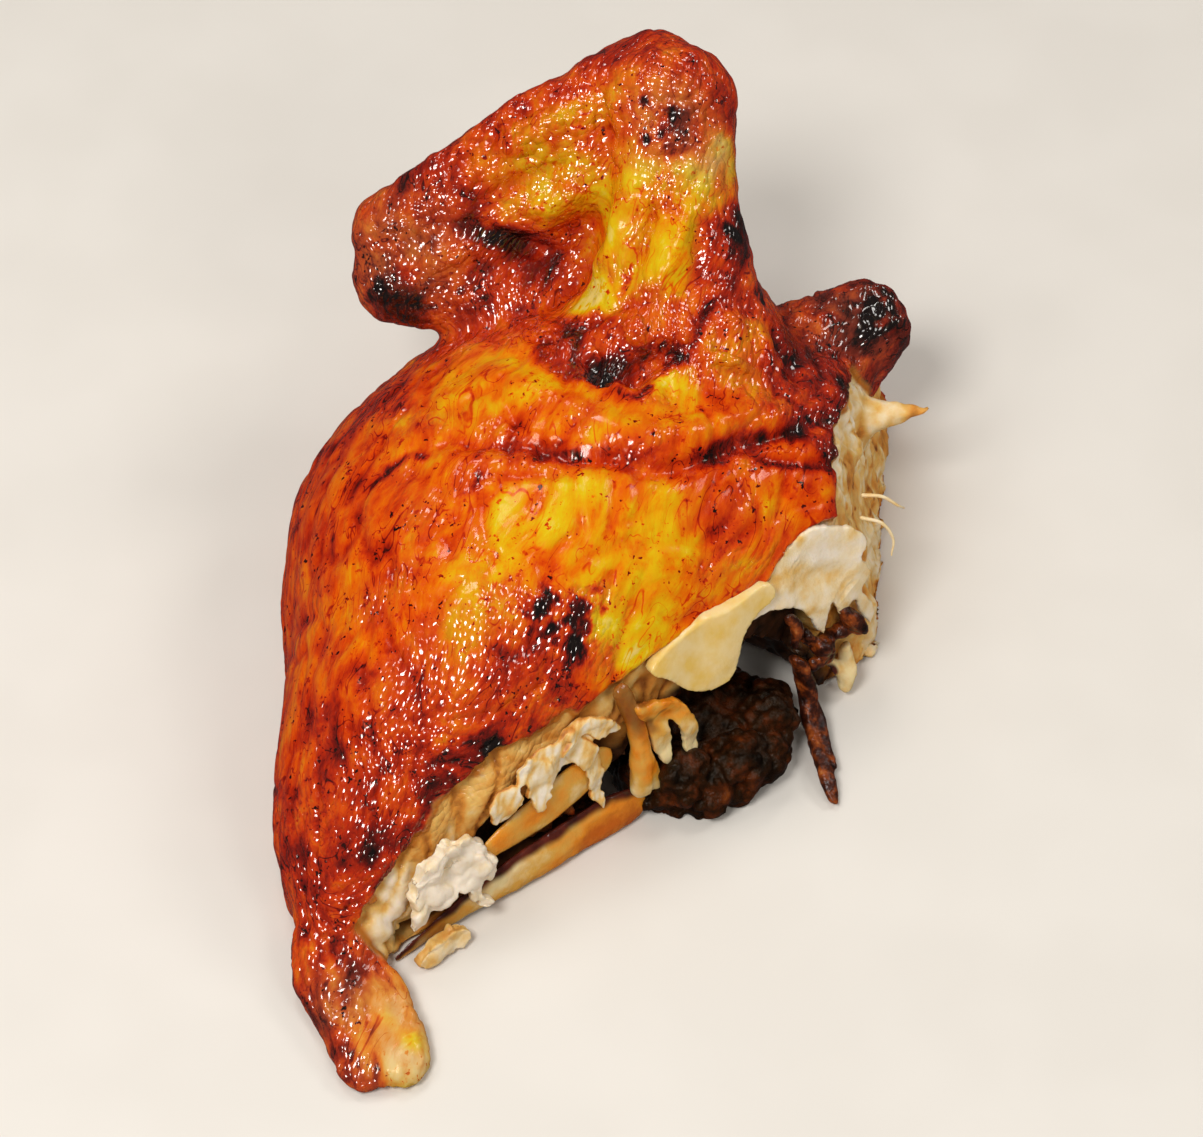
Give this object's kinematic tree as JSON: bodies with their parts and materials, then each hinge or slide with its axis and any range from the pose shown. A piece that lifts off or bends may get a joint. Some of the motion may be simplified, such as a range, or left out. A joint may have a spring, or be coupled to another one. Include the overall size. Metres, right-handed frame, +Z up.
{
  "type": "roast chicken breast quarter with wing",
  "caption": "Roast chicken breast quarter, wing attached, lying cut side down with the domed skin up; bone and a dark rib hollow show at the cut.",
  "frame": {"origin": "middle of the footprint, on the surface that the piece rests on", "axes": "+X along the breastbone cut from the tail tip to the neck end, +Y from the cut towards the back of the bird, +Z up"},
  "size_m": [0.1728, 0.1336, 0.084],
  "materials": {
    "roast_skin": "glossy, blistered roast skin, yellow to red-brown with charred spots, over pale cooked meat at the cuts",
    "dark_lining": "moist, lumpy, nearly black",
    "bone": "smooth tan bone with a thin film of fat",
    "gristle": "glossy, pinkish and slightly see-through"
  },
  "bodies": {
    "root": {"meat_and_skin": "roast_skin", "rib_lining": "dark_lining", "breastbone": "bone", "wishbone_end": "gristle"}
  },
  "joints": []
}
